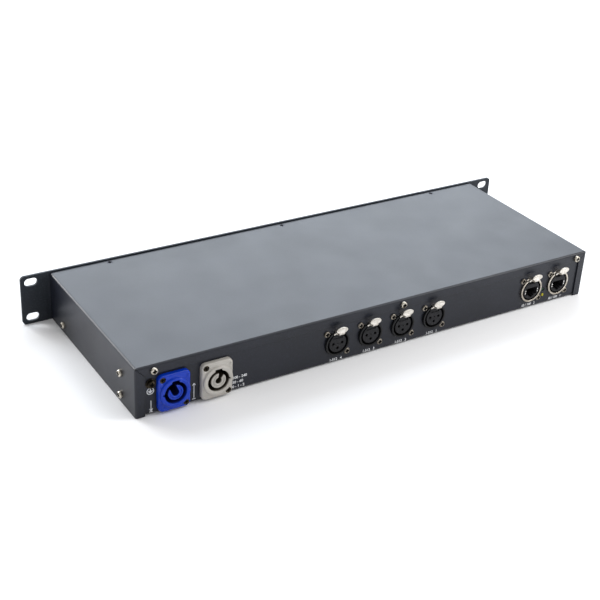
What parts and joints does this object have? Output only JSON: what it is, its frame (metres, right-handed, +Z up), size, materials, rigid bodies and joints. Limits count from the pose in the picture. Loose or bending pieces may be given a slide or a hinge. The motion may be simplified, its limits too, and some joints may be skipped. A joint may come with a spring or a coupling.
{
  "type": "lighting network node",
  "caption": "Rack-mounted steel box that turns network data into stage lighting control, with latching sockets and locking mains power on the rear.",
  "frame": {"origin": "centre of the four rack slots, on the rear face of the rack panel", "axes": "+X to the right seen from the front, +Y from the front panel to the rear, +Z up"},
  "size_m": [0.4826, 0.1749, 0.044],
  "materials": {
    "case_paint": "fine-texture powder coat, satin",
    "panel_paint": "fine-texture powder coat, satin",
    "screw_steel": "nickel-plated, lightly worn",
    "plated_steel": "bright zinc",
    "blue_plastic": "moulded, semi-gloss",
    "grey_plastic": "moulded, semi-gloss",
    "black_plastic": "moulded, fine matt",
    "nickel": "nickel plate, satin",
    "contact_metal": "gold-flashed contacts",
    "green_lens": "tinted lens",
    "yellow_lens": "tinted lens",
    "board_green": "solder mask",
    "board_tan": "bare laminate",
    "chip_black": "moulded chip",
    "ferrite": "ferrite and tape",
    "capacitor_sleeve": "shrink sleeve",
    "sink_alu": "natural extrusion",
    "fuse_glass": "clear glass tube",
    "lead_sheath": "soft insulation",
    "window_tint": "smoked acrylic",
    "display_dark": "display glass and frame",
    "button_plastic": "soft-touch cap",
    "lamp_clear": "water-clear lens"
  },
  "bodies": {
    "chassis": {"front_panel": "panel_paint", "base_tray": "case_paint", "top_cover": "case_paint", "panel_nuts": "plated_steel", "top_screws": "screw_steel", "lid_screws": "screw_steel", "side_screws": "screw_steel", "earth_screw": "screw_steel", "earth_washer": "screw_steel", "earth_nut": "plated_steel", "mains_inlet": "blue_plastic", "mains_outlet": "grey_plastic", "mains_contacts": "contact_metal", "mains_screws": "screw_steel", "mains_nuts": "plated_steel", "data_socket_1": "black_plastic", "data_socket_2": "black_plastic", "data_socket_3": "black_plastic", "data_socket_4": "black_plastic", "data_insert_1": "black_plastic", "data_insert_2": "black_plastic", "data_insert_3": "black_plastic", "data_insert_4": "black_plastic", "data_contacts": "contact_metal", "network_socket_1": "black_plastic", "network_socket_2": "black_plastic", "network_ring_1": "nickel", "network_ring_2": "nickel", "network_jack_1": "black_plastic", "network_jack_2": "black_plastic", "network_contacts": "contact_metal", "socket_screws": "screw_steel", "link_lamp": "green_lens", "activity_lamp": "yellow_lens", "main_board": "board_green", "board_chips": "chip_black", "board_spacers": "plated_steel", "board_screws": "plated_steel", "psu_board": "board_tan", "psu_transformer": "ferrite", "psu_capacitors": "capacitor_sleeve", "psu_heatsink": "sink_alu", "fuse": "fuse_glass", "fuse_clips": "contact_metal", "inner_leads": "lead_sheath", "display_window": "window_tint", "display_module": "display_dark", "front_board": "board_green", "front_switches": "chip_black", "front_lamps": "lamp_clear"},
    "data_latch_1": {"data_latch_1": "nickel"},
    "data_latch_2": {"data_latch_2": "nickel"},
    "data_latch_3": {"data_latch_3": "nickel"},
    "data_latch_4": {"data_latch_4": "nickel"},
    "network_latch_1": {"network_latch_1": "nickel"},
    "network_latch_2": {"network_latch_2": "nickel"},
    "menu_button_1": {"menu_button_1": "button_plastic"},
    "menu_button_2": {"menu_button_2": "button_plastic"},
    "menu_button_3": {"menu_button_3": "button_plastic"},
    "menu_button_4": {"menu_button_4": "button_plastic"}
  },
  "joints": [
    {"name": "data_latch_1_push", "type": "slide", "parent": "chassis", "child": "data_latch_1", "axis": [0, -1, 0], "range_m": [0, 0.002], "stiffness_N_per_m": 800},
    {"name": "data_latch_2_push", "type": "slide", "parent": "chassis", "child": "data_latch_2", "axis": [0, -1, 0], "range_m": [0, 0.002], "stiffness_N_per_m": 800},
    {"name": "data_latch_3_push", "type": "slide", "parent": "chassis", "child": "data_latch_3", "axis": [0, -1, 0], "range_m": [0, 0.002], "stiffness_N_per_m": 800},
    {"name": "data_latch_4_push", "type": "slide", "parent": "chassis", "child": "data_latch_4", "axis": [0, -1, 0], "range_m": [0, 0.002], "stiffness_N_per_m": 800},
    {"name": "network_latch_1_push", "type": "slide", "parent": "chassis", "child": "network_latch_1", "axis": [0, -1, 0], "range_m": [0, 0.002], "stiffness_N_per_m": 800},
    {"name": "network_latch_2_push", "type": "slide", "parent": "chassis", "child": "network_latch_2", "axis": [0, -1, 0], "range_m": [0, 0.002], "stiffness_N_per_m": 800},
    {"name": "menu_button_1_push", "type": "slide", "parent": "chassis", "child": "menu_button_1", "axis": [0, 1, 0], "range_m": [0, 0.0008], "stiffness_N_per_m": 600},
    {"name": "menu_button_2_push", "type": "slide", "parent": "chassis", "child": "menu_button_2", "axis": [0, 1, 0], "range_m": [0, 0.0008], "stiffness_N_per_m": 600},
    {"name": "menu_button_3_push", "type": "slide", "parent": "chassis", "child": "menu_button_3", "axis": [0, 1, 0], "range_m": [0, 0.0008], "stiffness_N_per_m": 600},
    {"name": "menu_button_4_push", "type": "slide", "parent": "chassis", "child": "menu_button_4", "axis": [0, 1, 0], "range_m": [0, 0.0008], "stiffness_N_per_m": 600}
  ]
}
